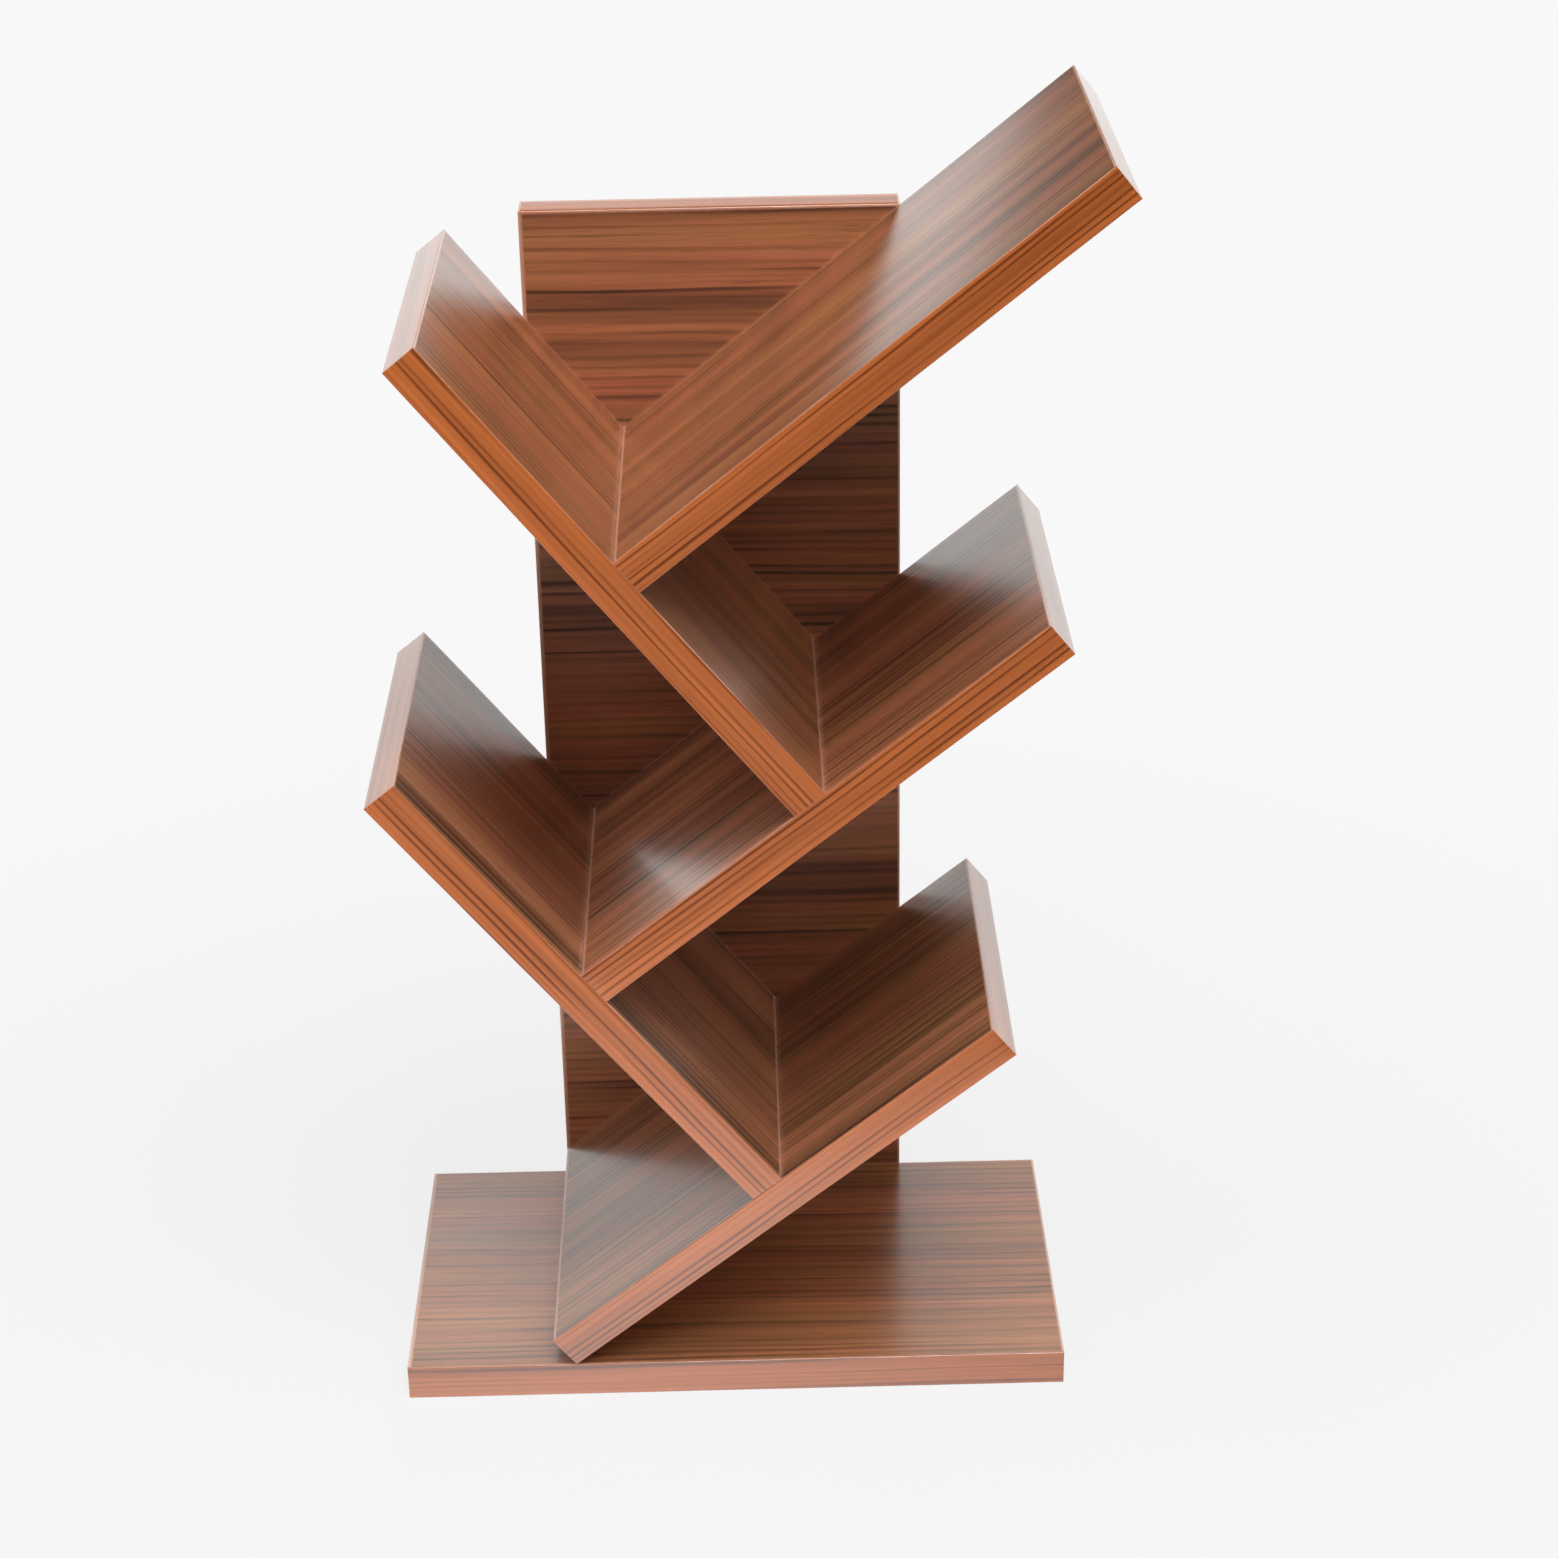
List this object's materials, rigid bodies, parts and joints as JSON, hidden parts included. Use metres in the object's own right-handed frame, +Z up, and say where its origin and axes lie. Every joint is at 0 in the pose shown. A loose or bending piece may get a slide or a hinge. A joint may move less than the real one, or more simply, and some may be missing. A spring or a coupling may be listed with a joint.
{
  "type": "tree bookshelf",
  "caption": "Small free-standing bookshelf: sloped boards zigzag up the front of an upright back panel on a flat base board, forming V-shaped pockets for books.",
  "frame": {"origin": "centre of the base board's underside, which is the face the bookshelf rests on", "axes": "+Z up; -Y is the front, where the boards' front edges are; +X is to the right as seen from the front, the side that the top board reaches out to"},
  "size_m": [0.3438, 0.193, 0.6159],
  "materials": {
    "walnut_board": "satin melamine face, straight walnut grain",
    "edge_band": "satin plastic edge strip, printed with walnut stripes",
    "screw_steel": "zinc plated",
    "dowel_wood": "plain beech",
    "cap_plastic": "matt brown"
  },
  "bodies": {
    "root": {"lower_right_shelf": "walnut_board", "lower_left_shelf": "walnut_board", "middle_right_shelf": "walnut_board", "upper_left_shelf": "walnut_board", "top_right_shelf": "walnut_board", "base_board": "walnut_board", "back_panel": "walnut_board", "lower_right_shelf_front_band": "edge_band", "lower_right_shelf_rear_band": "edge_band", "lower_right_shelf_foot_band": "edge_band", "lower_right_shelf_end_band": "edge_band", "lower_left_shelf_front_band": "edge_band", "lower_left_shelf_rear_band": "edge_band", "lower_left_shelf_foot_band": "edge_band", "lower_left_shelf_end_band": "edge_band", "middle_right_shelf_front_band": "edge_band", "middle_right_shelf_rear_band": "edge_band", "middle_right_shelf_foot_band": "edge_band", "middle_right_shelf_end_band": "edge_band", "upper_left_shelf_front_band": "edge_band", "upper_left_shelf_rear_band": "edge_band", "upper_left_shelf_foot_band": "edge_band", "upper_left_shelf_end_band": "edge_band", "top_right_shelf_front_band": "edge_band", "top_right_shelf_rear_band": "edge_band", "top_right_shelf_foot_band": "edge_band", "top_right_shelf_end_band": "edge_band", "base_front_band": "edge_band", "base_rear_band": "edge_band", "base_left_band": "edge_band", "base_right_band": "edge_band", "panel_right_band": "edge_band", "panel_left_band": "edge_band", "panel_bottom_band": "edge_band", "panel_top_band": "edge_band", "panel_screws": "screw_steel", "base_screws": "screw_steel", "joint_screws": "screw_steel", "joint_dowels": "dowel_wood", "joint_screw_caps": "cap_plastic"}
  },
  "joints": []
}
